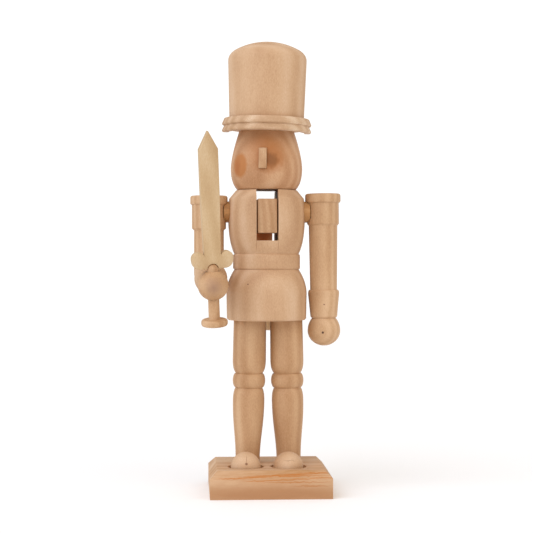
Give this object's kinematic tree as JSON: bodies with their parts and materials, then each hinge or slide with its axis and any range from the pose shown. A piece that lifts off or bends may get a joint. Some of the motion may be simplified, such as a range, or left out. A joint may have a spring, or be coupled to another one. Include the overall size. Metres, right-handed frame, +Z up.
{
  "type": "wooden nutcracker figure",
  "caption": "Unpainted turned wooden soldier on a chamfered block, with a back lever that works the jaw, pegged turning arms and a wooden sword.",
  "frame": {"origin": "middle of the base's underside", "axes": "+Z up, -Y is the way the figure faces, +X is the figure's left"},
  "size_m": [0.0839, 0.0947, 0.2495],
  "materials": {
    "base_wood": "raw sanded",
    "turned_wood": "raw sanded",
    "arm_wood": "raw sanded",
    "pale_wood": "raw sanded",
    "dowel_wood": "raw sanded",
    "pin_steel": "bright drawn"
  },
  "bodies": {
    "figure": {"base": "base_wood", "left_foot": "turned_wood", "right_foot": "turned_wood", "left_leg": "turned_wood", "right_leg": "turned_wood", "left_ankle_dowel": "dowel_wood", "right_ankle_dowel": "dowel_wood", "left_hip_dowel": "dowel_wood", "right_hip_dowel": "dowel_wood", "torso": "turned_wood", "jaw_pin": "pin_steel", "left_neck_dowel": "dowel_wood", "right_neck_dowel": "dowel_wood", "head": "turned_wood", "nose": "pale_wood", "hat_dowel": "dowel_wood", "hat": "turned_wood", "hat_visor": "pale_wood"},
    "jaw": {"jaw_lever": "pale_wood"},
    "straight_arm": {"left_arm": "arm_wood", "left_shoulder_peg": "dowel_wood"},
    "sword_arm": {"right_upper_arm": "arm_wood", "right_forearm": "arm_wood", "elbow_dowel": "dowel_wood", "right_shoulder_peg": "dowel_wood", "sword_blade": "pale_wood", "sword_grip": "turned_wood"}
  },
  "joints": [
    {"name": "jaw_hinge", "type": "hinge", "parent": "figure", "child": "jaw", "pos_m": [-0.0014, 0.0188, 0.1562], "axis": [1, 0, 0], "range_deg": [-9, 6.4]},
    {"name": "left_shoulder", "type": "hinge", "parent": "figure", "child": "straight_arm", "pos_m": [0.0196, 0.003, 0.1549], "axis": [-1, 0, 0], "range_deg": [-150, 150]},
    {"name": "right_shoulder", "type": "hinge", "parent": "figure", "child": "sword_arm", "pos_m": [-0.0214, 0.003, 0.1549], "axis": [-1, 0, 0], "range_deg": [-40, 80]}
  ]
}
